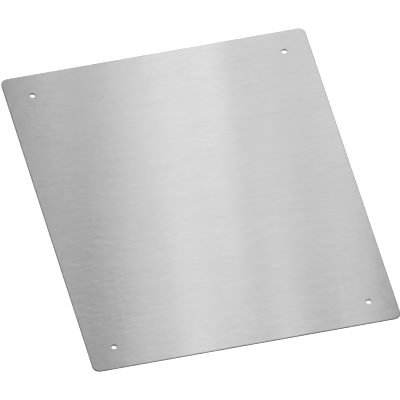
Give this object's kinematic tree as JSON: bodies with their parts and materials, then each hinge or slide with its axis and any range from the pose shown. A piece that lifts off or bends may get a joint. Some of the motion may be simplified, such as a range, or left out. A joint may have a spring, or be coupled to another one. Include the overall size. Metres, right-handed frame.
{
  "type": "rectangular cover plate",
  "caption": "Flat rectangular cover plate of brushed stainless sheet, with rounded corners and a plain screw hole near each corner.",
  "frame": {"origin": "middle of the underside of the sheet", "axes": "+Z out of the brushed face, +Y along the longer side, +X across the plate, along the grain"},
  "size_m": [0.24, 0.3, 0.0015],
  "materials": {
    "brushed_stainless": "satin brushed on the top face with the grain along X, plain mill finish underneath, darker cut edges"
  },
  "bodies": {
    "root": {"cover_plate": "brushed_stainless"}
  },
  "joints": []
}
